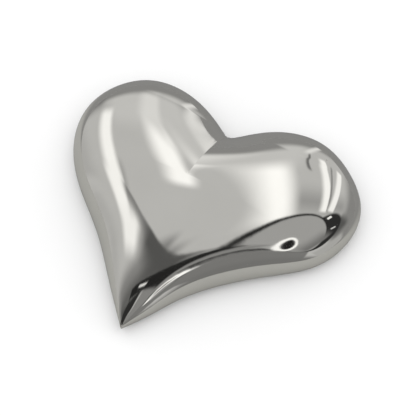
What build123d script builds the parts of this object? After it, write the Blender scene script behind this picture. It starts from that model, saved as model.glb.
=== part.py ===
from build123d import *
import os

import numpy as np

# A heart-shaped metal paperweight. It lies on its back on a felt pad: a polished die-cast shell,
# a base plate screwed up into it, and an iron weight held between the two by a foam pad.
# X runs across the heart, Y from its point to its two lobes, and Z up from the table.
# The origin is on the table, at the middle of the heart's width and length.

UPRIGHT = (Align.CENTER, Align.CENTER, Align.MIN)

# ---- driving dimensions, mm ----
HEART_WIDTH = 97.5        # across the two lobes
HEART_LENGTH = 88.0       # from the point to the top of the right lobe
DOME_RISE = 15.0          # from the widest level up to the crown
VALLEY_DEPTH = 0.45       # share of the dome's height that the valley takes at the notch
VALLEY_REACH = 14.0       # how far to each side the valley tells
VALLEY_FADE = 1.5         # how quickly it dies away towards the crown
LIP_RADIUS = 3.0          # the edge rolled under, below the widest level
FLOOR_GAP = 0.8           # the metal stands this far off the table, on its felt

CROWN_WALL = 3.0          # metal over the cavity at the crown
LAND_WIDTH = 1.6          # flat metal between the rolled lip and the recess
LEDGE_WIDTH = 1.6         # the step that the base plate seats on
PLATE_THICKNESS = 1.6
PLATE_CLEARANCE = 0.3     # round the base plate, in its recess
TAPE_THICKNESS = 0.2
FELT_THICKNESS = 2.0
FELT_MARGIN = 0.6         # the felt stops this far inside the plate's edge

WEIGHT_CLEARANCE = 1.2    # round the weight, in the cavity
WEIGHT_HEIGHT = 7.5
DAMPER_DIAMETER = 26.0

SCREW_DIAMETER = 2.5      # an M2.5 countersunk screw
SCREW_LENGTH = 8.0
HEAD_DIAMETER = 4.7       # over a 90 degree cone
HEAD_SINK = 0.1           # the head stays this far inside the plate's face
CROSS_WIDTH = 0.6
CROSS_SPAN = 2.4
CROSS_DEPTH = 0.9
HOLE_CLEARANCE = 0.15     # round the screw, in the plate
BOSS_DIAMETER = 7.5
BOSS_CLEARANCE = 0.8      # round each boss, in the weight
TAPPING_SPARE = 2.0       # each tapped hole runs on this far past its screw

# ---- the outline: half the width and half the length are 1, and the sides run notch to point ----
NOTCH = (-0.030, 0.711)
POINT = (0.032, -1.0)
CROWN = (-0.041, 0.100)
LEFT_SIDE = [(-0.253, 0.872), (-0.495, 0.961), (-0.729, 0.937), (-0.912, 0.767), (-0.999, 0.501),
             (-0.940, 0.185), (-0.737, -0.125), (-0.453, -0.409), (-0.202, -0.714)]
RIGHT_SIDE = [(0.249, 0.948), (0.527, 0.994), (0.787, 0.850), (0.967, 0.608), (0.994, 0.325),
              (0.889, 0.048), (0.666, -0.170), (0.434, -0.389), (0.248, -0.625), (0.128, -0.844)]
SCREW_PLACES = [(-0.50, 0.42), (0.50, 0.42), (0.03, -0.42)]

# ---- what follows from them ----
PLATE_BOTTOM = FELT_THICKNESS + TAPE_THICKNESS
PLATE_TOP = PLATE_BOTTOM + PLATE_THICKNESS
WIDEST_LEVEL = FLOOR_GAP + LIP_RADIUS
CROWN_TOP = WIDEST_LEVEL + DOME_RISE
RECESS_INSET = LIP_RADIUS + LAND_WIDTH
PLATE_INSET = RECESS_INSET + PLATE_CLEARANCE
CAVITY_INSET = RECESS_INSET + LEDGE_WIDTH
CAVITY_RISE = CROWN_TOP - CROWN_WALL - PLATE_TOP
WEIGHT_INSET = CAVITY_INSET + WEIGHT_CLEARANCE
WEIGHT_TOP = PLATE_TOP + WEIGHT_HEIGHT
HEAD_FACE = PLATE_BOTTOM + HEAD_SINK
HEAD_HEIGHT = (HEAD_DIAMETER - SCREW_DIAMETER) / 2
SCREW_END = HEAD_FACE + SCREW_LENGTH
CROWN_SPOT = np.array(CROWN) * (HEART_WIDTH / 2, HEART_LENGTH / 2)
SCREW_SPOTS = [(x * HEART_WIDTH / 2, y * HEART_LENGTH / 2) for x, y in SCREW_PLACES]

# ---- how finely the dome is worked out ----
SIDE_STEPS = 36           # places along each side of the outline
SUBSTEPS = 4              # finer places between two of those
SIDE_COUNT = SIDE_STEPS * SUBSTEPS
RIB_STEPS = 14            # places from the rim to the crown
LIP_STEPS = 5             # places round the rolled lip
SOURCE_OFFSET = 0.9       # how far outside the outline its sources lie, in their own spacing


def along_side(spots, shares):
    """Places at shares of the length of a line of points."""
    steps = np.hypot(*np.diff(spots, axis=0).T)
    passed = np.concatenate([[0], np.cumsum(steps)])
    return np.column_stack([np.interp(shares * passed[-1], passed, axis) for axis in spots.T])


def closed_rim(left, right):
    """One anticlockwise rim from two sides: it starts at the notch, with the point halfway round."""
    even = np.linspace(0, 1, SIDE_COUNT + 1)
    shares = 0.25 * even + 0.75 * (1 - np.cos(np.pi * even)) / 2
    sides = [along_side(np.array(side), shares)[:-1] for side in (left, right)]
    return np.vstack(sides)


def heart_rim():
    """The heart's outline at its real width and length."""
    fine = [float(share) for share in np.linspace(0, 1, 1001)]
    left, right = (Spline(NOTCH, *side, POINT) for side in (LEFT_SIDE, RIGHT_SIDE))
    left_spots = [((left @ share).X, (left @ share).Y) for share in fine]
    right_spots = [((right @ share).X, (right @ share).Y) for share in fine[::-1]]
    rim = closed_rim(left_spots, right_spots)
    low, high = rim.min(axis=0), rim.max(axis=0)
    return (rim - (low + high) / 2) / (high - low) * (HEART_WIDTH, HEART_LENGTH)


def outward(rim):
    """The direction square to the rim, away from the heart, at each of its points."""
    ahead = np.roll(rim, -1, axis=0) - rim
    behind = np.roll(ahead, 1, axis=0)
    along = ahead / np.hypot(*ahead.T)[:, None] + behind / np.hypot(*behind.T)[:, None]
    return np.column_stack([along[:, 1], -along[:, 0]]) / np.hypot(*along.T)[:, None]


def inset_rim(rim, inset):
    """The outline drawn in by an even inset, with its corners joined up again."""
    moved = rim - outward(rim) * inset
    gap = np.linalg.norm(moved[:, None, :] - rim, axis=2).min(axis=1)
    clear = gap > 0.98 * inset
    left = moved[:SIDE_COUNT][clear[:SIDE_COUNT]]
    right = moved[SIDE_COUNT:][clear[SIDE_COUNT:]]
    tip = (left[-1] + right[0]) / 2
    return closed_rim(np.vstack([left, tip]), np.vstack([tip, right, left[0]]))


def ring(spots):
    """A closed wire through a rim's points, with a corner at the notch and at the point."""
    left = spots[: SIDE_COUNT + 1 : SUBSTEPS]
    right = np.vstack([spots[SIDE_COUNT::SUBSTEPS], spots[:1]])
    return Wire([Edge.make_spline([Vector(*spot) for spot in side]) for side in (left, right)])


def slab(rim, bottom, top):
    """A flat piece with the rim's outline, between two levels."""
    return Pos(0, 0, bottom) * extrude(Face(ring(rim)), top - bottom)


def film_height(rim):
    """Height of a soap film blown up a little over a rim, as a function of places inside it.

    The film is a paraboloid plus the pull of a ring of sources outside the rim, each with the
    strength that brings the film down to zero all along the rim.
    """
    ahead = np.hypot(*(np.roll(rim, -1, axis=0) - rim).T)
    spacing = SUBSTEPS * (ahead + np.roll(ahead, 1)) / 2
    sources = (rim + outward(rim) * (SOURCE_OFFSET * spacing)[:, None])[::SUBSTEPS]

    def pulls(spots):
        reach = np.linalg.norm(spots[:, None, :] - sources, axis=2)
        return np.column_stack([np.log(reach), np.ones(len(spots))])

    strengths = np.linalg.lstsq(pulls(rim), (rim**2).sum(axis=1) / 4, rcond=1e-12)[0]
    return lambda spots: pulls(spots) @ strengths - (spots**2).sum(axis=1) / 4


def valley(spots, notch):
    """The share of its height that the dome keeps, where the crease runs in from the notch."""
    axis = notch - CROWN_SPOT
    length = np.hypot(*axis)
    x, y = (spots - CROWN_SPOT).T / length
    along = np.clip(x * axis[0] + y * axis[1], 0, length) / length
    aside = np.abs(x * axis[1] - y * axis[0])
    return 1 - VALLEY_DEPTH * along**VALLEY_FADE * np.exp(-aside / VALLEY_REACH)


def peak(film):
    """The film's greatest height, close to the crown."""
    shares = np.linspace(-0.2, 0.2, 41)
    x, y = np.meshgrid(shares * HEART_WIDTH, shares * HEART_LENGTH)
    return film(np.column_stack([x.ravel(), y.ravel()])).max()


def dome(rim, base, rise, lip=0.0):
    """A solid blown up over a rim like a cushion, with its edge rolled under by the lip's radius."""
    film = film_height(rim)
    top = peak(film)
    outwards = rim - CROWN_SPOT

    def blown(share):
        spots = CROWN_SPOT + outwards * share
        height = np.sqrt(np.clip(film(spots) - film(rim) * share**8, 0, None) / top)
        return np.column_stack([spots, base + lip + rise * height * valley(spots, rim[0])])

    def tucked(turn):
        inwards = lip * (1 - np.cos(turn)) / np.hypot(*outwards.T)[:, None]
        level = np.full(len(rim), base + lip * (1 - np.sin(turn)))
        return np.column_stack([CROWN_SPOT + outwards * (1 - inwards), level])

    under = np.linspace(np.pi / 2, 0, LIP_STEPS, endpoint=False) if lip else []
    over = np.linspace(0, np.pi / 2, RIB_STEPS, endpoint=False)
    rings = [ring(tucked(turn)) for turn in under] + [ring(blown(np.cos(turn))) for turn in over]
    return Solid.make_loft(rings + [Vertex(*blown(0)[0])])


def at_screws(piece):
    """The same piece at each of the three screws."""
    return [Pos(x, y, 0) * piece for x, y in SCREW_SPOTS]


def upright(diameter, bottom, top):
    """A round post or bore between two levels."""
    return Pos(0, 0, bottom) * Cylinder(diameter / 2, top - bottom, align=UPRIGHT)


def cavity(rim):
    """The hollow under the dome, with its three bosses standing in it."""
    hollow = dome(inset_rim(rim, CAVITY_INSET), PLATE_TOP, CAVITY_RISE)
    return hollow - at_screws(upright(BOSS_DIAMETER, PLATE_TOP, CROWN_TOP))


def heart_shell(rim):
    """The polished casting: dome, rolled lip, recess for the base plate and tapped bosses."""
    shell = dome(rim, FLOOR_GAP, DOME_RISE, LIP_RADIUS)
    shell -= slab(inset_rim(rim, RECESS_INSET), 0, PLATE_TOP)
    shell -= cavity(rim)
    return shell - at_screws(upright(SCREW_DIAMETER, PLATE_TOP, SCREW_END + TAPPING_SPARE))


def iron_weight(rim):
    """A cast weight that follows the hollow, flat on top, with a clearance hole round each boss."""
    block = dome(inset_rim(rim, WEIGHT_INSET), PLATE_TOP, CAVITY_RISE - WEIGHT_CLEARANCE)
    block = split(block, Plane.XY.offset(WEIGHT_TOP), keep=Keep.BOTTOM)
    return block - at_screws(upright(BOSS_DIAMETER + 2 * BOSS_CLEARANCE, PLATE_TOP, CROWN_TOP))


def foam_damper(rim):
    """A round foam pad squeezed between the weight and the crown of the shell."""
    column = Pos(*CROWN_SPOT, 0) * upright(DAMPER_DIAMETER, WEIGHT_TOP, CROWN_TOP)
    return column & cavity(rim)


def screw_cone(clearance):
    """The countersunk head's cone, or its seat when there is a clearance round it."""
    head = HEAD_DIAMETER / 2 + clearance
    shank = SCREW_DIAMETER / 2 + clearance
    return Pos(0, 0, HEAD_FACE) * Cone(head, shank, HEAD_HEIGHT, align=UPRIGHT)


def base_plate(rim):
    """The pressed steel plate, countersunk from below for its screws."""
    plate = slab(inset_rim(rim, PLATE_INSET), PLATE_BOTTOM, PLATE_TOP)
    holes = upright(SCREW_DIAMETER + 2 * HOLE_CLEARANCE, PLATE_BOTTOM, PLATE_TOP)
    mouths = upright(HEAD_DIAMETER + 2 * HOLE_CLEARANCE, PLATE_BOTTOM, HEAD_FACE)
    return plate - at_screws(holes) - at_screws(mouths) - at_screws(screw_cone(HOLE_CLEARANCE))


def base_screw():
    """One countersunk screw, head down, with a cross recess."""
    screw = screw_cone(0) + upright(SCREW_DIAMETER, HEAD_FACE, SCREW_END)
    arm = Box(CROSS_SPAN, CROSS_WIDTH, CROSS_DEPTH, align=UPRIGHT)
    return screw - Pos(0, 0, HEAD_FACE) * (arm + Rot(0, 0, 90) * arm)


rim = heart_rim()
nodes = {
    "heart_shell": heart_shell(rim),
    "iron_weight": iron_weight(rim),
    "foam_damper": foam_damper(rim),
    "base_plate": base_plate(rim),
    "base_screws": Compound(at_screws(base_screw())),
    "adhesive_sheet": slab(inset_rim(rim, PLATE_INSET + FELT_MARGIN), FELT_THICKNESS, PLATE_BOTTOM),
    "felt_pad": slab(inset_rim(rim, PLATE_INSET + FELT_MARGIN), 0, FELT_THICKNESS),
}

os.makedirs("parts", exist_ok=True)
for name, piece in nodes.items():
    export_step(piece, f"parts/{name}.step")
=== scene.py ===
# %% [markdown]
# # A polished metal heart
# A domed heart of mirror-polished metal lies on its back on a felt pad. It is a paperweight: a
# die-cast shell, an iron weight inside it, and a steel base plate with felt underneath. The CAD
# model gives the pieces, their sizes and their places, and this notebook gives them their final
# surfaces. Everything is in metres, in the CAD model's own frame: X across the lobes, Y from the
# point to the lobes, and Z up from the table.

# %% Load the frame
import math

import bpy
import numpy as np
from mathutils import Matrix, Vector


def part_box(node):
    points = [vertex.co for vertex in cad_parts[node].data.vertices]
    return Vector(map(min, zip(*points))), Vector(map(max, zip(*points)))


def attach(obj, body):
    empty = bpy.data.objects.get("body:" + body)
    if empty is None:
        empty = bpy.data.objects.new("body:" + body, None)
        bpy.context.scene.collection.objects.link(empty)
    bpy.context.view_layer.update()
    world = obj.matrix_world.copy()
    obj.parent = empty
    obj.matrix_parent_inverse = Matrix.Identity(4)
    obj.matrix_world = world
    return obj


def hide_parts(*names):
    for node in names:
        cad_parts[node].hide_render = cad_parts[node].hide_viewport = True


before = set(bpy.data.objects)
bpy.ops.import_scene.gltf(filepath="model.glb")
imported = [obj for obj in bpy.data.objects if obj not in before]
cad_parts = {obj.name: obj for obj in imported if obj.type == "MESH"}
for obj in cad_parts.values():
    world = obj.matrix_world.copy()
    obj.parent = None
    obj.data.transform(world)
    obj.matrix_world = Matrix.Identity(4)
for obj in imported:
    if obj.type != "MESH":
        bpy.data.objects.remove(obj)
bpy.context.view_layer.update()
MM = 0.001
shell_low, shell_high = (np.array(corner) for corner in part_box("heart_shell"))
plate_low, plate_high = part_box("base_plate")
felt_low, felt_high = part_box("felt_pad")

# %% [markdown]
# ## The camera
# The camera stands in front of the heart's point, turned a little to the right and looking well
# down on the table. The two angles come from a separate search over a traced outline, taken as
# flat: near them it was closest to its own mirror image. The reach was assumed. A long lens keeps
# the heart's shape true. The spot it stands over and the shift of its aim aren't chosen by hand:
# they follow from the fitting program that gave the outline below.

# %% Set up the camera
CAMERA_TURN = math.radians(28)
CAMERA_HEIGHT = math.radians(55)
CAMERA_REACH = 0.380
CAMERA_LENS = 106.08
STAND_OVER = np.array([2.165, 7.581, 8.8]) * MM     # the camera's reach is measured from here
AIM_SHIFT = (1.08 * MM, -5.41 * MM)                 # and it aims this far to the right and up of it

camera_right = np.array([math.cos(CAMERA_TURN), math.sin(CAMERA_TURN), 0])
camera_front = np.array([math.sin(CAMERA_TURN), -math.cos(CAMERA_TURN), 0])
camera_back = camera_front * math.cos(CAMERA_HEIGHT) + np.array([0, 0, math.sin(CAMERA_HEIGHT)])
camera_up = np.cross(camera_back, camera_right)
looking = camera_right * AIM_SHIFT[0] + camera_up * AIM_SHIFT[1] - camera_back * CAMERA_REACH

camera = bpy.data.objects.new("camera", bpy.data.cameras.new("camera"))
bpy.context.collection.objects.link(camera)
camera.data.lens = CAMERA_LENS
camera.location = STAND_OVER + camera_back * CAMERA_REACH
camera.rotation_euler = Vector(looking).to_track_quat("-Z", "Y").to_euler()
bpy.context.scene.camera = camera
bpy.context.scene.view_settings.view_transform = "Standard"
print("camera at, mm:", [round(v / MM) for v in camera.location])

# %% [markdown]
# ## The heart's outline
# The outline is two smooth sides that meet in a notch and in a point. Its knots were not drawn by
# hand. They are what a separate least-squares program gave, rounded to three places. Arcs for the
# lobes and a few chosen points for the flanks would be a better way to write it, and would need the
# CAD model drawn again too. The knots are shares of half the width and half the length, so the
# outline stretches with the heart.

# %% Draw the outline
NOTCH = (-0.030, 0.711)
POINT = (0.032, -1.0)
CROWN = (-0.041, 0.100)
LEFT_SIDE = [(-0.253, 0.872), (-0.495, 0.961), (-0.729, 0.937), (-0.912, 0.767), (-0.999, 0.501),
             (-0.940, 0.185), (-0.737, -0.125), (-0.453, -0.409), (-0.202, -0.714)]
RIGHT_SIDE = [(0.249, 0.948), (0.527, 0.994), (0.787, 0.850), (0.967, 0.608), (0.994, 0.325),
              (0.889, 0.048), (0.666, -0.170), (0.434, -0.389), (0.248, -0.625), (0.128, -0.844)]
SIDE_COUNT = 180          # places along each side of the heart
LINE_COUNT = 2001         # finer places on the two sides, before they are shared out
EVEN_SHARE = 0.25         # how even the places are; the rest crowd to the notch and the point
SOURCE_EVERY = 5          # one source of the film to this many places


def smooth_line(knots, count):
    """Places along a natural cubic spline through the knots, even in length."""
    knots = np.array(knots, float)
    steps = np.hypot(*np.diff(knots, axis=0).T)
    passed = np.concatenate([[0], np.cumsum(steps)])
    system = np.eye(len(knots))
    pull = np.zeros((len(knots), 2))
    for i in range(1, len(knots) - 1):
        before, after = steps[i - 1], steps[i]
        system[i, i - 1 : i + 2] = before, 2 * (before + after), after
        pull[i] = 6 * ((knots[i + 1] - knots[i]) / after - (knots[i] - knots[i - 1]) / before)
    bend = np.linalg.solve(system, pull)
    where = np.linspace(0, passed[-1], count)
    at = np.clip(np.searchsorted(passed, where, side="right") - 1, 0, len(knots) - 2)
    gap = steps[at][:, None]
    done, left = (where - passed[at])[:, None], (passed[at + 1] - where)[:, None]
    return ((bend[at] * left**3 + bend[at + 1] * done**3) / (6 * gap)
            + (knots[at] / gap - bend[at] * gap / 6) * left
            + (knots[at + 1] / gap - bend[at + 1] * gap / 6) * done)


def along_side(spots, shares):
    """Places at shares of the length of a line of points."""
    steps = np.hypot(*np.diff(spots, axis=0).T)
    passed = np.concatenate([[0], np.cumsum(steps)])
    return np.column_stack([np.interp(shares * passed[-1], passed, axis) for axis in spots.T])


def closed_rim(left, right):
    """One anticlockwise rim from two sides: it starts at the notch, with the point halfway round."""
    even = np.linspace(0, 1, SIDE_COUNT + 1)
    shares = EVEN_SHARE * even + (1 - EVEN_SHARE) * (1 - np.cos(np.pi * even)) / 2
    return np.vstack([along_side(np.array(side), shares)[:-1] for side in (left, right)])


shell_size = shell_high - shell_low
shell_middle = (shell_high + shell_low) / 2
left_side = smooth_line([NOTCH, *LEFT_SIDE, POINT], LINE_COUNT)
right_side = smooth_line([NOTCH, *RIGHT_SIDE, POINT], LINE_COUNT)[::-1]
rim = closed_rim(left_side, right_side)
rim_low, rim_high = rim.min(axis=0), rim.max(axis=0)
rim = (rim - (rim_low + rim_high) / 2) / (rim_high - rim_low) * shell_size[:2] + shell_middle[:2]
crown = np.array(CROWN) * shell_size[:2] / 2
print("rim places:", len(rim), "width and length, mm:", np.round(np.ptp(rim, axis=0) / MM, 2))

# %% [markdown]
# ## Blowing up the dome
# A cushion-like dome could be sculpted, or inflated by a cloth simulation. But a mirror shows every
# dent, so this one is worked out. A soap film blown up a little over the outline has a height
# everywhere inside it, and the dome's height follows the square root of the film's. That gives
# steep flanks, full lobes and a ridge at the point. A sharp valley then runs in from the notch.

# %% Work out the film
SOURCE_OFFSET = 0.9       # how far outside the rim the film's sources lie, in their own spacing
CLEAR_SHARE = 0.98        # an inset place this near its full inset is kept
RIM_FADE = 8              # how quickly the film's small error at the rim dies away inwards


def outward(rim):
    """The direction square to the rim, away from the heart, at each of its places."""
    ahead = np.roll(rim, -1, axis=0) - rim
    behind = np.roll(ahead, 1, axis=0)
    along = ahead / np.hypot(*ahead.T)[:, None] + behind / np.hypot(*behind.T)[:, None]
    return np.column_stack([along[:, 1], -along[:, 0]]) / np.hypot(*along.T)[:, None]


def film_height(rim):
    """Height of a soap film blown up a little over a rim, as a function of places inside it."""
    ahead = np.hypot(*(np.roll(rim, -1, axis=0) - rim).T)
    spacing = SOURCE_EVERY * (ahead + np.roll(ahead, 1)) / 2
    sources = (rim + outward(rim) * (SOURCE_OFFSET * spacing)[:, None])[::SOURCE_EVERY]

    def pulls(spots):
        reach = np.linalg.norm(spots[:, None, :] - sources, axis=2)
        return np.column_stack([np.log(reach), np.ones(len(spots))])

    strengths = np.linalg.lstsq(pulls(rim), (rim**2).sum(axis=1) / 4, rcond=1e-12)[0]
    return lambda spots: pulls(spots) @ strengths - (spots**2).sum(axis=1) / 4


def inset_rim(rim, inset):
    """The outline drawn in by an even inset, with its corners joined up again."""
    moved = rim - outward(rim) * inset
    gap = np.linalg.norm(moved[:, None, :] - rim, axis=2).min(axis=1)
    clear = gap > CLEAR_SHARE * inset
    left = moved[:SIDE_COUNT][clear[:SIDE_COUNT]]
    right = moved[SIDE_COUNT:][clear[SIDE_COUNT:]]
    tip = (left[-1] + right[0]) / 2
    return closed_rim(np.vstack([left, tip]), np.vstack([tip, right, left[0]]))


def film_share(rim):
    """The film's height as a share of its full height, as a function of places inside the rim."""
    film = film_height(rim)
    shares = np.linspace(-0.2, 0.2, 41)
    x, y = np.meshgrid(shares * shell_size[0], shares * shell_size[1])
    top = film(np.column_stack([x.ravel(), y.ravel()])).max()
    return lambda spots: film(spots) / top


def blown_rings(rim, count):
    """Flat rings from the rim in to the crown, each place with its share of the full height."""
    film = film_share(rim)
    rings = []
    for turn in np.linspace(0, np.pi / 2, count):
        share = np.cos(turn)
        spots = crown + (rim - crown) * share
        rings.append((spots, np.sqrt(np.clip(film(spots) - film(rim) * share**RIM_FADE, 0, None))))
    return rings


RIB_COUNT = 110
dome_rings = blown_rings(rim, RIB_COUNT)
print("share of the film's full height at the crown:", round(float(dome_rings[-1][1].mean()), 4))

# %% [markdown]
# ## The shell's one closed skin
# The casting has an outside and an inside: the dome, the lip rolled under it, a narrow flat land, a
# recess with a ledge for the base plate, and a hollow that follows the dome. All of it is one chain
# of rings, from the hollow's crown out, round the lip and up to the dome's own crown. The rings are
# laid out flat here, and each place remembers how much it will rise.

# %% Lay out the rings
LIP_RADIUS = 3.0 * MM
LAND_WIDTH = 1.6 * MM
LEDGE_WIDTH = 1.6 * MM
LIP_COUNT = 12
HOLLOW_COUNT = 40

plate_top = plate_high[2]
widest = shell_low[2] + LIP_RADIUS
recess_rim = inset_rim(rim, LIP_RADIUS + LAND_WIDTH)
hollow_rim = inset_rim(rim, LIP_RADIUS + LAND_WIDTH + LEDGE_WIDTH)


def at_level(spots, level):
    return np.column_stack([spots, np.full(len(spots), level)])


def lip_rings(count):
    """Rings round the rolled lip, from the land up to the widest level."""
    reach = np.hypot(*(rim - crown).T)[:, None]
    rings = []
    for turn in np.linspace(np.pi / 2, 0, count, endpoint=False):
        tucked = crown + (rim - crown) * (1 - LIP_RADIUS * (1 - math.cos(turn)) / reach)
        rings.append(at_level(tucked, shell_low[2] + LIP_RADIUS * (1 - math.sin(turn))))
    return rings


hollow_rings = blown_rings(hollow_rim, HOLLOW_COUNT)[::-1]
chain = [at_level(spots, plate_top) for spots, _ in hollow_rings]
chain += [at_level(recess_rim, plate_top), at_level(recess_rim, shell_low[2])]
chain += lip_rings(LIP_COUNT)
chain += [at_level(spots, widest) for spots, _ in dome_rings]
no_rise = np.zeros(len(rim))
rises = [share for _, share in hollow_rings] + [no_rise] * (2 + LIP_COUNT)
rises += [share for _, share in dome_rings]
print("rings in the chain:", len(chain))


# %% Turn the chain into a mesh
def ring_faces(ring_total, columns):
    """Quads between rings, and a fan where the first and the last ring shrink to one spot."""
    def at(row, col):
        if row == 0:
            return 0
        if row == ring_total - 1:
            return 1 + (ring_total - 2) * columns
        return 1 + (row - 1) * columns + col % columns

    faces = []
    for row in range(ring_total - 1):
        for col in range(columns):
            corners = [at(row, col), at(row, col + 1), at(row + 1, col + 1), at(row + 1, col)]
            faces.append(tuple(dict.fromkeys(corners)))
    return faces


def chained(rings):
    """Rings stacked as one list of values, with the first and the last given only once."""
    return np.concatenate([rings[0][:1], *rings[1:-1], rings[-1][:1]])


def new_piece(name, spots, faces):
    """A plain mesh object with its place in its mesh."""
    mesh = bpy.data.meshes.new(name)
    mesh.from_pydata(np.asarray(spots).tolist(), [], faces)
    piece = bpy.data.objects.new(name, mesh)
    bpy.context.collection.objects.link(piece)
    return piece


def remember(piece, name, values):
    """Keep one number for each point of a piece."""
    piece.data.attributes.new(name, "FLOAT", "POINT").data.foreach_set("value", values)


shell = new_piece("heart_shell_skin", chained(chain), ring_faces(len(chain), len(rim)))
remember(shell, "rise", chained(rises))
hollow_points = 1 + (HOLLOW_COUNT - 1) * len(rim)
remember(shell, "hollow", (np.arange(len(shell.data.vertices)) < hollow_points).astype(float))
print("shell faces:", len(shell.data.polygons))

# %% [markdown]
# ## Inflating with Geometry Nodes
# The rule of the shape is small: every place goes up by its share of the rise, less what the valley
# takes. So a Geometry Nodes tree does the lifting, and its sizes are inputs that a reader can turn.

# %% Small helpers for node trees
def add_node(tree, kind, values=None, **settings):
    """A node with its settings and its input values. A value may be another node's output."""
    node = tree.nodes.new(kind)
    for name, value in settings.items():
        setattr(node, name, value)
    for key, value in (values or {}).items():
        if isinstance(value, bpy.types.NodeSocket):
            tree.links.new(value, node.inputs[key])
        else:
            node.inputs[key].default_value = value
    return node


def calc(tree, operation, *values):
    """One step of arithmetic, as a node's output."""
    step = add_node(tree, "ShaderNodeMath", dict(enumerate(values)), operation=operation)
    return step.outputs[0]


def vector_calc(tree, operation, *values, result=0):
    """One step of vector arithmetic, as a node's output."""
    step = add_node(tree, "ShaderNodeVectorMath", dict(enumerate(values)), operation=operation)
    return step.outputs[result]


def new_tree(name, kind, inputs, outputs):
    """An empty node tree with named inputs and outputs, given as (name, socket type, value)."""
    tree = bpy.data.node_groups.new(name, kind)
    for label, socket_type, value in inputs:
        socket = tree.interface.new_socket(label, in_out="INPUT", socket_type=socket_type)
        if value is not None:
            socket.default_value = value
    for label, socket_type in outputs:
        tree.interface.new_socket(label, in_out="OUTPUT", socket_type=socket_type)
    return tree, tree.nodes.new("NodeGroupInput").outputs, tree.nodes.new("NodeGroupOutput").inputs


def set_inputs(piece, tree, **values):
    """Add the tree to a piece as a modifier and set its inputs by their identifiers."""
    modifier = piece.modifiers.new(tree.name, "NODES")
    modifier.node_group = tree
    for item in tree.interface.items_tree:
        label = item.name.lower().replace(" ", "_")
        if item.in_out == "INPUT" and label in values:
            modifier[item.identifier] = values[label]
    return modifier


def make_plain(piece):
    """Turn what the modifiers made into a plain mesh."""
    evaluated = piece.evaluated_get(bpy.context.evaluated_depsgraph_get())
    mesh = bpy.data.meshes.new_from_object(evaluated)
    piece.modifiers.clear()
    piece.data = mesh
    mesh.name = piece.name
    return piece


print("node helpers ready")


# %% Build the inflating tree
def inflating_tree():
    """Lift each place by its share of the rise, with a valley from the notch to the crown."""
    tree, given, result = new_tree("inflate_heart", "GeometryNodeTree", [
        ("Geometry", "NodeSocketGeometry", None),
        ("Dome rise", "NodeSocketFloat", 0.015),
        ("Hollow rise", "NodeSocketFloat", 0.012),
        ("Crown", "NodeSocketVector", None),
        ("Dome notch", "NodeSocketVector", None),
        ("Hollow notch", "NodeSocketVector", None),
        ("Valley depth", "NodeSocketFloat", 0.45),
        ("Valley reach", "NodeSocketFloat", 0.014),
        ("Finish", "NodeSocketMaterial", None),
    ], [("Geometry", "NodeSocketGeometry")])

    def remembered(name):
        return add_node(tree, "GeometryNodeInputNamedAttribute", {"Name": name}).outputs[0]

    hollow = remembered("hollow")
    notch = add_node(tree, "ShaderNodeMix", {"Factor": hollow, 4: given["Dome notch"],
                                             5: given["Hollow notch"]}, data_type="VECTOR").outputs[1]
    full = add_node(tree, "ShaderNodeMix", {"Factor": hollow, 2: given["Dome rise"],
                                            3: given["Hollow rise"]}).outputs[0]
    axis = vector_calc(tree, "SUBTRACT", notch, given["Crown"])
    length = vector_calc(tree, "LENGTH", axis, result=1)
    axis = vector_calc(tree, "NORMALIZE", axis)
    place = add_node(tree, "GeometryNodeInputPosition").outputs[0]
    flat = vector_calc(tree, "MULTIPLY", vector_calc(tree, "SUBTRACT", place, given["Crown"]), (1, 1, 0))
    along = calc(tree, "DIVIDE", vector_calc(tree, "DOT_PRODUCT", flat, axis, result=1), length)
    along = add_node(tree, "ShaderNodeClamp", {0: along}).outputs[0]
    aside = vector_calc(tree, "LENGTH", vector_calc(tree, "CROSS_PRODUCT", flat, axis), result=1)
    fade = calc(tree, "EXPONENT", calc(tree, "MULTIPLY", calc(tree, "DIVIDE", aside,
                                                              given["Valley reach"]), -1.0))
    taken = calc(tree, "MULTIPLY", calc(tree, "MULTIPLY", given["Valley depth"], fade),
                 calc(tree, "POWER", along, 1.5))
    lift = calc(tree, "MULTIPLY", calc(tree, "MULTIPLY", full, remembered("rise")),
                calc(tree, "SUBTRACT", 1.0, taken))
    up = add_node(tree, "ShaderNodeCombineXYZ", {"Z": lift}).outputs[0]
    moved = add_node(tree, "GeometryNodeSetPosition", {"Geometry": given["Geometry"], "Offset": up})
    real = add_node(tree, "GeometryNodeRealizeInstances", {"Geometry": moved.outputs[0]})
    done = add_node(tree, "GeometryNodeSetMaterial", {"Geometry": real.outputs[0],
                                                      "Material": given["Finish"]})
    tree.links.new(done.outputs[0], result["Geometry"])
    return tree


VALLEY_DEPTH = 0.45
VALLEY_REACH = 14.0 * MM
CREASE_ANGLE = math.radians(20)
CROWN_WALL = 3.0 * MM

INFLATE = inflating_tree()
print("the tree's inputs:", [item.name for item in INFLATE.interface.items_tree])

# %% [markdown]
# ## Shader groups that several finishes share
# Real surfaces are never even. Two small groups give that unevenness, and each finish uses them
# with its own values. One gives a grain that can be stretched into brush lines. The other gives
# sparse round spots, such as casting pits or the cells of a foam.


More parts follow.
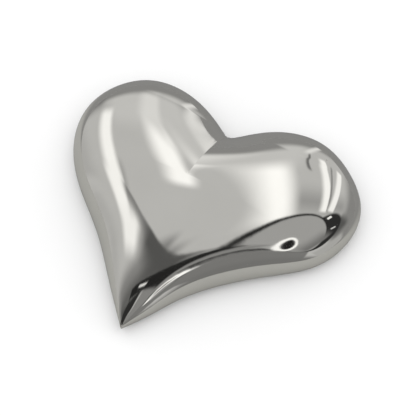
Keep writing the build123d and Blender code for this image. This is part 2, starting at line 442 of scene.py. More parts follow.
# %% Build the shared groups
def grain_group():
    """A cloudy grain from 0 to 1, stretched along one axis or another."""
    group, given, result = new_tree("grain", "ShaderNodeTree", [
        ("Place", "NodeSocketVector", None),
        ("Stretch", "NodeSocketVector", (1, 1, 1)),
        ("Cells per metre", "NodeSocketFloat", 200.0),
        ("Detail", "NodeSocketFloat", 4.0),
        ("Contrast", "NodeSocketFloat", 1.0),
    ], [("Grain", "NodeSocketFloat")])
    place = vector_calc(group, "MULTIPLY", given["Place"], given["Stretch"])
    noise = add_node(group, "ShaderNodeTexNoise", {"Vector": place, "Scale": given["Cells per metre"],
                                                   "Detail": given["Detail"]}).outputs[0]
    wide = calc(group, "MULTIPLY", calc(group, "SUBTRACT", noise, 0.5), given["Contrast"])
    grain = add_node(group, "ShaderNodeClamp", {0: calc(group, "ADD", wide, 0.5)}).outputs[0]
    group.links.new(grain, result["Grain"])
    return group


def spots_group():
    """Round spots from 0 to 1 in some of the cells of a pattern."""
    group, given, result = new_tree("spots", "ShaderNodeTree", [
        ("Place", "NodeSocketVector", None),
        ("Cells per metre", "NodeSocketFloat", 200.0),
        ("Spot size", "NodeSocketFloat", 0.2),
        ("Share of cells", "NodeSocketFloat", 0.1),
    ], [("Spots", "NodeSocketFloat")])
    cells = add_node(group, "ShaderNodeTexVoronoi", {"Vector": given["Place"],
                                                     "Scale": given["Cells per metre"]})
    draw = add_node(group, "ShaderNodeSeparateColor", {0: cells.outputs["Color"]}).outputs[0]
    chosen = calc(group, "LESS_THAN", draw, given["Share of cells"])
    inside = add_node(group, "ShaderNodeMapRange", {0: cells.outputs["Distance"], 1: given["Spot size"],
                                                    2: 0.0, 3: 0.0, 4: 1.0},
                      interpolation_type="SMOOTHSTEP").outputs[0]
    group.links.new(calc(group, "MULTIPLY", chosen, inside), result["Spots"])
    return group


GRAIN = grain_group()
SPOTS = spots_group()


def new_finish(name, **constants):
    """A material with its plain values set on the shader itself."""
    finish = bpy.data.materials.new(name)
    finish.use_nodes = True
    shader = finish.node_tree.nodes["Principled BSDF"]
    for label, value in constants.items():
        shader.inputs[label.replace("_", " ")].default_value = value
    place = finish.node_tree.nodes.new("ShaderNodeTexCoord").outputs["Object"]
    return finish, finish.node_tree, shader, place


def grain(tree, place, cells, detail=4.0, contrast=1.0, stretch=(1, 1, 1)):
    return add_node(tree, "ShaderNodeGroup", {"Place": place, "Stretch": stretch, "Detail": detail,
                                              "Cells per metre": cells, "Contrast": contrast},
                    node_tree=GRAIN).outputs[0]


def spots(tree, place, cells, size, share):
    return add_node(tree, "ShaderNodeGroup", {"Place": place, "Cells per metre": cells,
                                              "Spot size": size, "Share of cells": share},
                    node_tree=SPOTS).outputs[0]


def between(tree, mask, low, high):
    """A value that runs from low to high as the mask runs from 0 to 1."""
    return add_node(tree, "ShaderNodeMapRange", {0: mask, 3: low, 4: high}).outputs[0]


def blend_colours(tree, mask, first, second):
    mix = add_node(tree, "ShaderNodeMix", {0: mask, 6: first, 7: second}, data_type="RGBA")
    return mix.outputs[2]


def bump(tree, height, depth, under=None):
    """A bump whose full height is a real depth in metres, on top of another bump or none."""
    values = {"Height": height, "Distance": depth, "Strength": 1.0}
    if under is not None:
        values["Normal"] = under
    return add_node(tree, "ShaderNodeBump", values).outputs[0]


print("shared groups:", GRAIN.name, SPOTS.name)

# %% [markdown]
# ## Polished nickel
# The casting is ground, buffed and nickel-plated. The plate is a touch warm, very bright and nearly
# a mirror. Buffing leaves a slow waviness, hair-fine lines and hazy patches, and the casting leaves
# a few pinholes. All of these are much too small to model, so they are bumps of real depth. The
# pinholes are also painted dark: painted shade inside them.


# %% Mix the polished nickel
def polished_nickel():
    metal, tree, shader, place = new_finish("polished_nickel", Metallic=1.0)
    haze = grain(tree, place, 70, 3.0, 2.2)
    buffing = grain(tree, place, 900, 2.0, 1.4, (1.0, 0.12, 1.0))
    pits = spots(tree, place, 160, 0.055, 0.05)
    clean = blend_colours(tree, haze, (0.83, 0.818, 0.775, 1), (0.80, 0.787, 0.745, 1))
    # the pinholes get a dark colour: painted shade inside them
    tree.links.new(blend_colours(tree, pits, clean, (0.20, 0.19, 0.17, 1)), shader.inputs["Base Color"])
    rough = calc(tree, "ADD", between(tree, haze, 0.015, 0.05), between(tree, buffing, 0.0, 0.015))
    tree.links.new(calc(tree, "MAXIMUM", rough, calc(tree, "MULTIPLY", pits, 0.5)),
                   shader.inputs["Roughness"])
    waves = bump(tree, grain(tree, place, 55, 1.0), 0.02 * MM)
    ripples = bump(tree, grain(tree, place, 320, 2.0), 0.0022 * MM, waves)
    lines = bump(tree, buffing, 0.0004 * MM, ripples)
    tree.links.new(bump(tree, calc(tree, "SUBTRACT", 1.0, pits), 0.05 * MM, lines),
                   shader.inputs["Normal"])
    return metal


metal = polished_nickel()
print("finish:", metal.name, "nodes:", len(metal.node_tree.nodes))

# %% Inflate the shell and give it its finish
hollow_rise = shell_high[2] - CROWN_WALL - plate_top
dome_rise = (shell_high[2] - widest) / float(dome_rings[-1][1].mean())


def inflate(piece, finish):
    """Run the inflating tree on a piece and keep what it makes."""
    set_inputs(piece, INFLATE, dome_rise=dome_rise, hollow_rise=hollow_rise, crown=(*crown, 0),
               dome_notch=(*rim[0], 0), hollow_notch=(*hollow_rim[0], 0),
               valley_depth=VALLEY_DEPTH, valley_reach=VALLEY_REACH, finish=finish)
    make_plain(piece)


def hand_over(piece, node):
    """Smooth a finished piece, let it stand in for its CAD node and ride the one body."""
    piece.data.shade_smooth()
    piece.data.set_sharp_from_angle(angle=CREASE_ANGLE)
    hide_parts(node)
    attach(piece, "root")


inflate(shell, metal)
hand_over(shell, "heart_shell")
top = max(v.co.z for v in shell.data.vertices)
print("shell's top, mm:", round(top / MM, 3), "against", round(shell_high[2] / MM, 3))

# %% [markdown]
# ## Bosses and screws
# Three bosses stand in the hollow and take the screws that hold the base plate. Each is turned:
# a profile goes once round its axis. The screw's thread is the same idea with a radius that also
# depends on the angle, so a ridge climbs round it. A boolean could cut the cross recess, but rings
# with a cross-shaped radius stay cleaner. One small tree sets a copy at each of the three places.


# %% Build the placing tree
def placing_tree():
    """Set a copy of the pattern at each point, with its own turn, and give all one finish."""
    tree, given, result = new_tree("place_copies", "GeometryNodeTree", [
        ("Geometry", "NodeSocketGeometry", None),
        ("Pattern", "NodeSocketObject", None),
        ("Most turn", "NodeSocketFloat", math.tau),
        ("Seed", "NodeSocketInt", 3),
        ("Finish", "NodeSocketMaterial", None),
    ], [("Geometry", "NodeSocketGeometry")])
    points = add_node(tree, "GeometryNodeMeshToPoints", {"Mesh": given["Geometry"]}).outputs[0]
    pattern = add_node(tree, "GeometryNodeObjectInfo", {"Object": given["Pattern"]})
    turn = add_node(tree, "FunctionNodeRandomValue", {2: 0.0, 3: given["Most turn"],
                                                      "Seed": given["Seed"]}).outputs[1]
    upright = add_node(tree, "ShaderNodeCombineXYZ", {"Z": turn}).outputs[0]
    copies = add_node(tree, "GeometryNodeInstanceOnPoints", {
        "Points": points, "Instance": pattern.outputs["Geometry"], "Rotation": upright})
    real = add_node(tree, "GeometryNodeRealizeInstances", {"Geometry": copies.outputs[0]})
    done = add_node(tree, "GeometryNodeSetMaterial", {"Geometry": real.outputs[0],
                                                      "Material": given["Finish"]})
    tree.links.new(done.outputs[0], result["Geometry"])
    return tree


PLACING = placing_tree()
SCREW_PLACES = [(-0.50, 0.42), (0.50, 0.42), (0.03, -0.42)]    # shares of half the heart's size
screw_spots = np.array(SCREW_PLACES) * shell_size[:2] / 2
print("the tree's inputs:", [item.name for item in PLACING.interface.items_tree])


# %% Turn the bosses and the screws
SCREW_DIAMETER = 2.5 * MM     # M2.5, countersunk
SCREW_LENGTH = 8.0 * MM
HEAD_DIAMETER = 4.7 * MM
HEAD_SINK = 0.1 * MM
CROSS_HALF = (1.2 * MM, 0.3 * MM)
CROSS_DEPTH = 0.9 * MM
THREAD_PITCH = 0.45 * MM
THREAD_DEPTH = 0.27 * MM
THREAD_STEPS = 6              # rings to one turn of the thread
BOSS_DIAMETER = 7.5 * MM
BOSS_TOP = 13.2 * MM          # inside the dome's metal
TAPPING_SPARE = 2.0 * MM
EDGE_BREAK = 0.3 * MM
FLAT_SCREW_EDGE = 0.1 * MM    # the head's rim
CROSS_FLOOR_SHARE = 0.8       # the recess narrows to this share at its floor
TURN_SEED = 3
COLUMNS = 48

angles = np.linspace(0, math.tau, COLUMNS, endpoint=False)
round_and_round = np.column_stack([np.cos(angles), np.sin(angles)])


def turned(name, profile):
    """A closed mesh from (radius, level) pairs. A radius may be one number or one for each angle."""
    rings = [at_level(round_and_round * np.reshape(radius, (-1, 1)), level)
             for radius, level in profile]
    return new_piece(name, chained(rings), ring_faces(len(rings), COLUMNS))


def set_in_places(name, pattern, finish, most_turn=0.0):
    """Copies of a pattern at the three screw places, as one piece."""
    piece = new_piece(name, at_level(screw_spots, 0.0), [])
    set_inputs(piece, PLACING, pattern=pattern, most_turn=most_turn, seed=TURN_SEED, finish=finish)
    make_plain(piece)
    bpy.data.objects.remove(pattern)
    return piece


def boss_profile(low, hole_end):
    """From the blind end of the tapped hole, down it, round the boss's face and up its outside."""
    bore, outside = SCREW_DIAMETER / 2, BOSS_DIAMETER / 2
    return [(0, hole_end), (bore, hole_end), (bore, low + EDGE_BREAK), (bore + EDGE_BREAK, low),
            (outside - EDGE_BREAK, low), (outside, low + EDGE_BREAK), (outside, BOSS_TOP),
            (0, BOSS_TOP)]


def cross_radius():
    """How far the cross recess reaches from the screw's axis, at each angle."""
    long, short = CROSS_HALF
    side, rise = np.abs(round_and_round.T) + 1e-9
    return np.maximum(np.minimum(long / side, short / rise), np.minimum(short / side, long / rise))


def screw_profile(face):
    """From the recess's floor, round the head and up the thread to the screw's end."""
    outside, head = SCREW_DIAMETER / 2, HEAD_DIAMETER / 2
    neck, end = face + head - outside, face + SCREW_LENGTH
    profile = [(0, face + CROSS_DEPTH), (CROSS_FLOOR_SHARE * cross_radius(), face + CROSS_DEPTH),
               (cross_radius(), face), (head - FLAT_SCREW_EDGE, face), (head, face + FLAT_SCREW_EDGE),
               (outside, neck)]
    step = THREAD_PITCH / THREAD_STEPS
    for level in np.arange(neck + step, end - THREAD_PITCH, step):
        phase = (level / THREAD_PITCH - angles / math.tau) % 1
        profile.append((outside - THREAD_DEPTH * np.abs(2 * phase - 1), level))
    return profile + [(outside - THREAD_DEPTH, end - EDGE_BREAK), (0.6 * outside, end), (0, end)]


head_face = plate_low[2] + HEAD_SINK
bosses = set_in_places("shell_bosses", turned("boss_pattern", boss_profile(
    plate_top, head_face + SCREW_LENGTH + TAPPING_SPARE)), metal)
hand_over(bosses, "heart_shell")
print("boss faces:", len(bosses.data.polygons))


# %% Give the screws their finish
def screw_steel():
    """Bright zinc on cold-formed steel: a fine grain, and dull specks where the driver slipped."""
    steel, tree, shader, place = new_finish("zinc_screw_steel", Metallic=1.0)
    wear = grain(tree, place, 1500, 3.0, 2.0)
    tone = blend_colours(tree, wear, (0.56, 0.57, 0.58, 1), (0.44, 0.44, 0.43, 1))
    tree.links.new(tone, shader.inputs["Base Color"])
    tree.links.new(between(tree, wear, 0.22, 0.45), shader.inputs["Roughness"])
    tree.links.new(bump(tree, wear, 0.004 * MM), shader.inputs["Normal"])
    return steel


screws = set_in_places("screws_threaded", turned("screw_pattern", screw_profile(head_face)),
                       screw_steel(), math.tau)
hand_over(screws, "base_screws")
print("screw faces:", len(screws.data.polygons))

# %% [markdown]
# ## The foam pad
# A disc of foam is pressed between the weight and the hollow's crown, so that the weight can't
# rattle. Its top takes the hollow's shape. It goes through the same inflating tree as the shell.


# %% Press in the foam
FOAM_RADIUS = 13.0 * MM
FOAM_GAP = 0.02 * MM          # kept clear of the hollow
FOAM_RINGS = 14


def foam_finish():
    """Grey open-cell foam: every cell is a small hollow, painted dark as painted shade."""
    foam, tree, shader, place = new_finish("open_cell_foam", Roughness=0.95)
    cells = spots(tree, place, 1400, 0.55, 1.0)
    cloud = grain(tree, place, 400, 3.0, 1.5)
    open_tone = blend_colours(tree, cloud, (0.115, 0.118, 0.125, 1), (0.085, 0.087, 0.093, 1))
    # the cells get a near-black colour: painted shade in the hollows
    tone = blend_colours(tree, cells, open_tone, (0.02, 0.02, 0.022, 1))
    tree.links.new(tone, shader.inputs["Base Color"])
    tree.links.new(bump(tree, calc(tree, "SUBTRACT", 1.0, cells), 0.15 * MM), shader.inputs["Normal"])
    return foam


weight_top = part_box("iron_weight")[1].z
hollow_share = film_share(hollow_rim)
foam_chain, foam_rises = [], []
for radius in (0, FOAM_RADIUS - EDGE_BREAK):
    foam_chain.append(at_level(crown + round_and_round * radius, weight_top))
    foam_rises.append(np.zeros(COLUMNS))
foam_chain.append(at_level(crown + round_and_round * FOAM_RADIUS, weight_top + EDGE_BREAK))
foam_rises.append(np.zeros(COLUMNS))
for radius in np.linspace(FOAM_RADIUS, 0, FOAM_RINGS):
    places = crown + round_and_round * radius
    foam_chain.append(at_level(places, plate_top - FOAM_GAP))
    foam_rises.append(np.sqrt(hollow_share(places)))
foam = new_piece("foam_pad", chained(foam_chain), ring_faces(len(foam_chain), COLUMNS))
remember(foam, "rise", chained(foam_rises))
remember(foam, "hollow", np.ones(len(foam.data.vertices)))
inflate(foam, foam_finish())
hand_over(foam, "foam_damper")
print("foam's top, mm:", round(max(v.co.z for v in foam.data.vertices) / MM, 2))

# %% [markdown]
# ## The felt and its fibres
# The felt is pressed wool, cut to the heart's outline. Its cut edge is never clean: short fibres
# stand out of it. They follow the edge's surface, so a second tree scatters them over it.


# %% Lay out the felt
FELT_INSET = 5.5 * MM         # from the heart's outline in to the felt's edge
FELT_SOFT = 0.3 * MM          # the round on its cut edges


def felt_finish(name):
    """Charcoal wool felt: matted fibres that run every way, with a soft sheen."""
    felt, tree, shader, place = new_finish(name, Roughness=1.0, Sheen_Weight=0.35,
                                           Sheen_Roughness=0.5)
    matted = grain(tree, place, 1800, 5.0, 1.8)
    strands = grain(tree, place, 1200, 3.0, 2.5, (1.0, 0.15, 1.0))
    cross = grain(tree, place, 1200, 3.0, 2.5, (0.15, 1.0, 1.0))
    fibres = calc(tree, "MAXIMUM", strands, cross)
    tone = blend_colours(tree, calc(tree, "MULTIPLY", fibres, matted), (0.020, 0.020, 0.023, 1),
                         (0.072, 0.072, 0.078, 1))
    tree.links.new(tone, shader.inputs["Base Color"])
    tree.links.new(bump(tree, fibres, 0.06 * MM, bump(tree, matted, 0.10 * MM)),
                   shader.inputs["Normal"])
    return felt


felt_rim = inset_rim(rim, FELT_INSET)
soft_share = 1 - FELT_SOFT / np.hypot(*(felt_rim - crown).T)[:, None]
felt_edge = crown + (felt_rim - crown) * soft_share
felt_bottom, felt_top = felt_low[2], felt_high[2]
felt_rings = [at_level(crown + (felt_edge - crown) * share, felt_bottom)
              for share in (0, 0.5, 1)]
felt_rings += [at_level(felt_rim, felt_bottom + FELT_SOFT), at_level(felt_rim, felt_top - FELT_SOFT)]
felt_rings += [at_level(crown + (felt_edge - crown) * share, felt_top) for share in (1, 0.5, 0)]
felt = new_piece("felt_sheet", chained(felt_rings), ring_faces(len(felt_rings), len(felt_rim)))
felt.data.materials.append(felt_finish("wool_felt"))
print("felt rings:", len(felt_rings))


# %% Scatter the fibres
FIBRE_LENGTH = 0.5 * MM
FIBRE_WIDTH = 0.02 * MM
FIBRES_PER_AREA = 1.2e7       # to a square metre
FIBRE_LEAN = 0.35             # radians off square, at most
FIBRE_SEED = 11


def fibre_tree():
    """Thin spikes scattered over a surface, each leaning off square by its own amount."""
    tree, given, result = new_tree("scatter_fibres", "GeometryNodeTree", [
        ("Geometry", "NodeSocketGeometry", None),
        ("Fibres per area", "NodeSocketFloat", FIBRES_PER_AREA),
        ("Length", "NodeSocketFloat", FIBRE_LENGTH),
        ("Width", "NodeSocketFloat", FIBRE_WIDTH),
        ("Lean", "NodeSocketFloat", FIBRE_LEAN),
        ("Seed", "NodeSocketInt", FIBRE_SEED),
        ("Finish", "NodeSocketMaterial", None),
    ], [("Geometry", "NodeSocketGeometry")])
    spread = add_node(tree, "GeometryNodeDistributePointsOnFaces", {
        "Mesh": given["Geometry"], "Density": given["Fibres per area"], "Seed": given["Seed"]})
    spike = add_node(tree, "GeometryNodeMeshCone", {
        "Vertices": 3, "Radius Top": 0.0, "Radius Bottom": given["Width"],
        "Depth": given["Length"]}).outputs["Mesh"]
    low = calc(tree, "MULTIPLY", given["Lean"], -1.0)
    lean = add_node(tree, "FunctionNodeRandomValue", {0: (-1, -1, 0), 1: (1, 1, 6)},
                    data_type="FLOAT_VECTOR").outputs[0]
    lean = vector_calc(tree, "MULTIPLY", lean, add_node(tree, "ShaderNodeCombineXYZ", {
        "X": low, "Y": low, "Z": 1.0}).outputs[0])
    turned_out = add_node(tree, "FunctionNodeRotateRotation", {
        0: spread.outputs["Rotation"], 1: lean}, rotation_space="LOCAL").outputs[0]
    size = add_node(tree, "FunctionNodeRandomValue", {2: 0.4, 3: 1.0}).outputs[1]
    copies = add_node(tree, "GeometryNodeInstanceOnPoints", {
        "Points": spread.outputs["Points"], "Instance": spike, "Rotation": turned_out,
        "Scale": size})
    real = add_node(tree, "GeometryNodeRealizeInstances", {"Geometry": copies.outputs[0]})
    done = add_node(tree, "GeometryNodeSetMaterial", {"Geometry": real.outputs[0],
                                                      "Material": given["Finish"]})
    tree.links.new(done.outputs[0], result["Geometry"])
    return tree


edge_rings = [at_level(felt_rim, level)
              for level in (felt_bottom + 2 * FELT_SOFT, felt_top - 2 * FELT_SOFT)]
places_round = len(felt_rim)
edge_faces = [(i, (i + 1) % places_round, places_round + (i + 1) % places_round, places_round + i)
              for i in range(places_round)]
fibres = new_piece("felt_fibres", np.concatenate(edge_rings), edge_faces)
set_inputs(fibres, fibre_tree(), fibres_per_area=FIBRES_PER_AREA, length=FIBRE_LENGTH,
           width=FIBRE_WIDTH, lean=FIBRE_LEAN, seed=FIBRE_SEED, finish=felt_finish("wool_fibre"))
make_plain(fibres)
for piece in (felt, fibres):
    hand_over(piece, "felt_pad")
print("fibre faces:", len(fibres.data.polygons))

# %% [markdown]
# ## Finishes for the plain pieces
# The iron weight, the base plate and the adhesive sheet keep the CAD model's shapes, which are true
# to the real pieces. They only need their own surfaces.


# %% Mix the three finishes
def cast_iron():
    """Sand-cast iron: dark, rough and pitted, with a breath of rust in the pits."""
    iron, tree, shader, place = new_finish("sand_cast_iron", Metallic=0.6)
    sand = grain(tree, place, 900, 5.0, 1.6)
    pits = spots(tree, place, 500, 0.25, 0.35)
    tone = blend_colours(tree, sand, (0.070, 0.068, 0.066, 1), (0.135, 0.128, 0.122, 1))
    tree.links.new(blend_colours(tree, pits, tone, (0.085, 0.042, 0.025, 1)),
                   shader.inputs["Base Color"])
    tree.links.new(between(tree, sand, 0.55, 0.85), shader.inputs["Roughness"])
    sunk = bump(tree, calc(tree, "SUBTRACT", 1.0, pits), 0.12 * MM, bump(tree, sand, 0.08 * MM))
    tree.links.new(sunk, shader.inputs["Normal"])
    return iron


def plated_steel():
    """Zinc-plated sheet steel: cool and even, with the faint lines of rolling."""
    steel, tree, shader, place = new_finish("zinc_plated_steel", Metallic=1.0)
    rolled = grain(tree, place, 2500, 2.0, 2.0, (0.02, 1.0, 1.0))
    bloom = grain(tree, place, 120, 4.0, 2.0)
    tree.links.new(blend_colours(tree, bloom, (0.60, 0.62, 0.65, 1), (0.50, 0.515, 0.53, 1)),
                   shader.inputs["Base Color"])
    tree.links.new(between(tree, bloom, 0.26, 0.42), shader.inputs["Roughness"])
    tree.links.new(bump(tree, rolled, 0.003 * MM), shader.inputs["Normal"])
    return steel


def film_adhesive():
    """A clear, slightly yellow adhesive film with small trapped bubbles."""
    film, tree, shader, place = new_finish("film_adhesive", Roughness=0.35, IOR=1.48,
                                           Transmission_Weight=0.5)
    bubbles = spots(tree, place, 700, 0.18, 0.2)
    tree.links.new(blend_colours(tree, bubbles, (0.80, 0.74, 0.56, 1), (0.90, 0.89, 0.84, 1)),
                   shader.inputs["Base Color"])
    tree.links.new(bump(tree, bubbles, 0.02 * MM, bump(tree, grain(tree, place, 300), 0.01 * MM)),
                   shader.inputs["Normal"])
    return film


for name, finish, slot in (("iron_weight", cast_iron(), "cast_iron"),
                           ("base_plate", plated_steel(), "plated_steel"),
                           ("adhesive_sheet", film_adhesive(), "adhesive")):
    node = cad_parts[name]
    node.data.materials.clear()
    node.data.materials.append(finish)
    print(name, "now has", finish.name)

# %% [markdown]
# ## The studio
# A mirror shows nothing but the room, so the room is most of this heart's look. It could be built
# from real lamps and cards, or left as plain soft light, which is the honest test of a shape. Here
# it is painted in the world shader, to make the camera's one view look right. It isn't a neutral
# studio, and from other sides its patterns mean nothing. To see the heart in plain light, empty
# PANELS and give the table one tone. The painting is a plan of the ceiling: the zenith is in the
# middle, and a spot's distance from it is its angle from straight up, in degrees. "Across" runs to
# the camera's right and "toward" runs from the back of the room to the camera.


# %% Shader groups for the studio
def plan_group():
    """Where a direction falls on the plan of the ceiling."""
    group, given, result = new_tree("ceiling_plan", "ShaderNodeTree",
                                    [("Direction", "NodeSocketVector", None)],
                                    [("Plan", "NodeSocketVector")])
    ahead = vector_calc(group, "NORMALIZE", given["Direction"])
    up = add_node(group, "ShaderNodeSeparateXYZ", {0: ahead}).outputs[2]
    angle = calc(group, "DEGREES", calc(group, "ARCCOSINE", up))
    level = vector_calc(group, "NORMALIZE", vector_calc(group, "MULTIPLY", ahead, (1, 1, 0)))
    across = vector_calc(group, "DOT_PRODUCT", level, tuple(camera_right), result=1)
    toward = vector_calc(group, "DOT_PRODUCT", level, tuple(camera_front), result=1)
    plan = add_node(group, "ShaderNodeCombineXYZ", {0: calc(group, "MULTIPLY", angle, across),
                                                    1: calc(group, "MULTIPLY", angle, toward)})
    group.links.new(plan.outputs[0], result["Plan"])
    return group


def edge(tree, value, start, end):
    """A soft edge: 0 at the start and 1 at the end."""
    return add_node(tree, "ShaderNodeMapRange", {0: value, 1: start, 2: end, 3: 0.0, 4: 1.0},
                    interpolation_type="SMOOTHSTEP").outputs[0]


def shape_group(name, is_oval):
    """A soft-edged panel or oval on the plan, turned about its middle and bowed sideways."""
    group, given, result = new_tree(name, "ShaderNodeTree", [
        ("Plan", "NodeSocketVector", None),
        ("Middle", "NodeSocketVector", None),
        ("Half width", "NodeSocketFloat", 5.0),
        ("Half length", "NodeSocketFloat", 10.0),
        ("Turn", "NodeSocketFloat", 0.0),
        ("Bow", "NodeSocketFloat", 0.0),
        ("Soft left", "NodeSocketFloat", 2.0),
        ("Soft right", "NodeSocketFloat", 2.0),
        ("Soft ends", "NodeSocketFloat", 2.0),
    ], [("Mask", "NodeSocketFloat")])
    away = vector_calc(group, "SUBTRACT", given["Plan"], given["Middle"])
    back = calc(group, "MULTIPLY", calc(group, "RADIANS", given["Turn"]), -1.0)
    turned = add_node(group, "ShaderNodeVectorRotate", {"Vector": away, "Angle": back},
                      rotation_type="Z_AXIS").outputs[0]
    parts = add_node(group, "ShaderNodeSeparateXYZ", {0: turned})
    share = calc(group, "DIVIDE", parts.outputs[1], given["Half length"])
    bowed = calc(group, "MULTIPLY", calc(group, "MULTIPLY", share, share), given["Bow"])
    side = calc(group, "SUBTRACT", parts.outputs[0], bowed)
    if is_oval:
        far = calc(group, "DIVIDE", side, given["Half width"])
        reach = calc(group, "SQRT", calc(group, "ADD", calc(group, "MULTIPLY", far, far),
                                         calc(group, "MULTIPLY", share, share)))
        soft = calc(group, "DIVIDE", calc(group, "DIVIDE", given["Soft left"], 2.0),
                    given["Half width"])
        mask = edge(group, reach, calc(group, "ADD", 1.0, soft), calc(group, "SUBTRACT", 1.0, soft))
    else:
        def limit(value, half, softness):
            half_soft = calc(group, "DIVIDE", softness, 2.0)
            return edge(group, value, calc(group, "ADD", half, half_soft),
                        calc(group, "SUBTRACT", half, half_soft))

        other = calc(group, "MULTIPLY", side, -1.0)
        length = calc(group, "ABSOLUTE", parts.outputs[1])
        mask = calc(group, "MULTIPLY", limit(side, given["Half width"], given["Soft right"]),
                    limit(other, given["Half width"], given["Soft left"]))
        mask = calc(group, "MULTIPLY", mask, limit(length, given["Half length"], given["Soft ends"]))
    group.links.new(mask, result["Mask"])
    return group


PLAN = plan_group()
SHAPES = {"panel": shape_group("soft_panel", False), "oval": shape_group("soft_oval", True)}
print("studio groups:", PLAN.name, *(group.name for group in SHAPES.values()))

# %% [markdown]
# Each row below is one patch of tone, laid over the rows before it. Its name says what it might be
# in a room. The rows were typed one by one, but their places and tones were measured and not invented.
# A row gives its name, its shape, its middle across and toward, its half width and half length, its
# turn, how far its ends bow aside, how soft its left edge, right edge and ends are (all in degrees),
# and its tone, where 1 is white.

# %% Furnish the studio
STUDIO_BASE = 0.56
PANELS = [
    # the room
    ("left wall", "panel", -92, -50, 28, 40, 0, 0, 10, 24, 20, 0.48),
    ("right wall", "panel", 94, -30, 32, 60, 0, 0, 16, 10, 20, 0.27),
    ("back ceiling", "panel", -3, -66, 26, 12, 0, 0, 10, 10, 12, 0.63),
    ("right ceiling", "panel", 42, -22, 18, 9, 0, 0, 8, 10, 24, 0.36),
    ("back wall", "panel", 0, -97, 140, 20, 0, 0, 10, 10, 9, 0.28),
    ("left corner", "panel", -58, -82, 22, 10, 0, 0, 10, 10, 20, 0.23),
    ("left front", "panel", -56, 6, 52, 11, 6, 0, 10, 6, 8, 0.28),
    ("left front low", "panel", -32, 10, 34, 5, 8, 0, 10, 10, 10, 0.14),
    # lights on the left
    ("window foot", "panel", -42, -14, 9, 5.5, 20, 0, 9, 9, 7, 1.05),
    ("window bend", "panel", -45.5, -24, 5.5, 6, 14, 0, 6, 6, 6, 1.05),
    ("left window", "panel", -39.5, -42, 4.8, 23, 17, 1, 8, 4, 10, 1.1),
    ("window frame", "panel", -36, -28, 1.0, 6, 16, 0, 1.5, 4, 6, 0.42),
    ("window glow", "panel", -72, -24, 18, 3, 10, 0, 4, 10, 5, 0.56),
    # lights overhead
    ("round-ended strip", "panel", -4.5, -44, 5.0, 16, 14, 2, 9, 5, 5, 1.15),
    ("strip head", "panel", 0, -66, 6, 10, 14, 0, 9, 5, 8, 0.80),
    ("long strip", "panel", 19, -25, 4.4, 32, -5, -2, 9, 7, 18, 1.2),
    ("right mark", "panel", 26, -60, 0.8, 8, -8, 1, 1.5, 1.0, 5, 0.18),
    ("right strip", "panel", 39.2, -39, 2.6, 26, -5, -1.5, 4, 1.5, 4, 1.1),
    ("right strip shade", "panel", 42.8, -37, 0.8, 24, 1, 0, 1, 1, 4, 0.30),
    ("outer strip", "panel", 48.6, -38, 2.6, 24, 8, 0, 3, 1.5, 4, 1.05),
    ("back strip", "panel", 30, -76, 2.0, 10, 38, 0, 4, 4, 8, 0.85),
    ("back hook", "oval", 46, -90, 4, 6, 0, 0, 2, 2, 2, 0.06),
    # the arm that runs down from the left, and its shade
    ("arm high", "panel", -25.3, -10.8, 1.6, 20, -44, 0, 5, 1.5, 6, 0.26),
    ("arm", "panel", -8, 10, 4.5, 28, -45, 0, 10, 1.5, 16, 0.10),
    ("front dark", "panel", -46, 25, 38, 14, 12, 0, 6, 3, 4, 0.03),
    # in front: the hoop, the slit and the table beyond
    ("front wall", "panel", 14, 62, 28, 28, 0, 0, 3, 3, 8, 0.22),
    ("front low", "panel", 40, 97, 70, 32, 0, 0, 10, 10, 16, 0.20),
    ("hoop far shade", "panel", 62, 4, 9, 16, 25, 0, 6, 12, 14, 0.11),
    ("front table", "panel", 92, 52, 26, 36, -56, 0, 3, 10, 8, 0.46),
    ("hoop shadow", "oval", 45, 18, 16, 33, 18, 0, 2, 2, 2, 0.03),
    ("hoop rim", "oval", 33, 20, 18, 30, 0, 0, 1.5, 1.5, 2, 0.02),
    ("hoop inside", "oval", 33.4, 20.8, 16.7, 28.7, 0, 0, 1.2, 1.5, 2, 0.40),
    ("hoop inside shade", "panel", 43, 30, 5, 20, 28, 0, 16, 3, 14, 0.20),
    ("front strip", "panel", 5, 38, 13, 11, 28, 0, 3, 2, 4, 0.27),
    ("front line", "panel", -4.6, 19.4, 2.2, 26, -64.8, -3.2, 1.2, 1.2, 3, 0.02),
    ("front fleck", "panel", -9.5, 17.2, 0.4, 6, -65, 0, 0.8, 0.8, 2, 1.0),
    ("hoop glint", "panel", 46.5, -7.5, 1.2, 2.2, 40, 0, 0.8, 0.8, 1, 1.0),
    ("hoop catch", "panel", 55.5, 4.5, 1.0, 3.0, 50, 0, 1.0, 1.0, 1, 0.7),
    ("slit edge", "oval", 26.2, 34.5, 4.0, 13, 3, 0, 0.8, 0.8, 2, 1.2),
    ("slit", "oval", 26.2, 34.5, 2.5, 9.5, 3, 0, 0.8, 0.8, 2, 0.02),
]


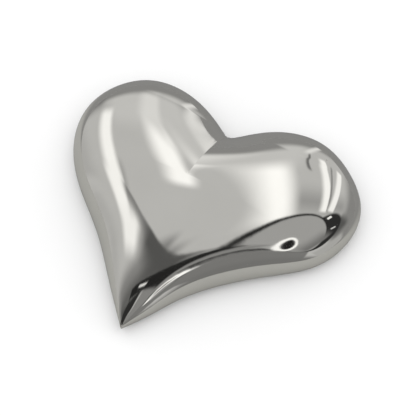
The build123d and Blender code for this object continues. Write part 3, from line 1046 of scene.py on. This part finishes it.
def studio_tone(tree, plan):
    """All of the rows, one over the other."""
    tone = STUDIO_BASE
    for name, shape, across, toward, width, length, turn, bow, left, right, ends, value in PANELS:
        mask = add_node(tree, "ShaderNodeGroup", {
            "Plan": plan, "Middle": (across, toward, 0), "Half width": width, "Half length": length,
            "Turn": turn, "Bow": bow, "Soft left": left, "Soft right": right, "Soft ends": ends,
        }, node_tree=SHAPES[shape], label=name).outputs[0]
        tone = add_node(tree, "ShaderNodeMix", {0: mask, 2: tone, 3: value}, label=name).outputs[0]
    return tone


world = bpy.data.worlds.new("studio")
bpy.context.scene.world = world
world.use_nodes = True
world.cycles.sampling_method = "NONE"
sky = world.node_tree
direction = sky.nodes.new("ShaderNodeTexCoord").outputs["Generated"]
plan = add_node(sky, "ShaderNodeGroup", {"Direction": direction}, node_tree=PLAN).outputs[0]
rays = sky.nodes.new("ShaderNodeLightPath").outputs
SOFT_LIGHT = 1.22
seen = add_node(sky, "ShaderNodeMix", {0: rays["Is Diffuse Ray"], 2: studio_tone(sky, plan),
                                       3: SOFT_LIGHT}).outputs[0]
seen = add_node(sky, "ShaderNodeMix", {0: rays["Is Camera Ray"], 2: seen, 3: 1.0}).outputs[0]
sky.links.new(seen, sky.nodes["Background"].inputs["Color"])
print("things in the studio:", len(PANELS))

# %% [markdown]
# ## The table
# A plain white sheet. The camera sees it white. Mirrors see a second, greyer tone, greyest at the
# back: painted shade. That isn't physical: it was chosen for the look of the heart's low edge.

# %% Lay the table
TABLE_WHITE = (0.86, 0.86, 0.86, 1)
MIRROR_SHADE_BACK = (0.23, 0.23, 0.23, 1)
MIRROR_SHADE_FRONT = (0.38, 0.38, 0.37, 1)
MIRROR_SHADE_RUN = (42 * MM, 22 * MM)    # the painted mirror shade changes between these two places along Y

bpy.ops.mesh.primitive_plane_add(size=4)
table = bpy.context.object
table.name = "table"
sheet_finish, tree, shader, place = new_finish("table_sheet", Roughness=0.9)
shader.inputs["Specular IOR Level"].default_value = 0.1
along_sheet = vector_calc(tree, "DOT_PRODUCT", place, (0, 1, 0), result=1)
share = add_node(tree, "ShaderNodeMapRange", {0: along_sheet, 1: MIRROR_SHADE_RUN[0], 2: MIRROR_SHADE_RUN[1]})
# what mirrors see of the table is painted shade, darkest at the back
painted_mirror_shade = blend_colours(tree, share.outputs[0], MIRROR_SHADE_BACK, MIRROR_SHADE_FRONT)
in_mirror = tree.nodes.new("ShaderNodeLightPath").outputs["Is Glossy Ray"]
tree.links.new(blend_colours(tree, in_mirror, TABLE_WHITE, painted_mirror_shade), shader.inputs["Base Color"])
table.data.materials.append(sheet_finish)
print("table laid")
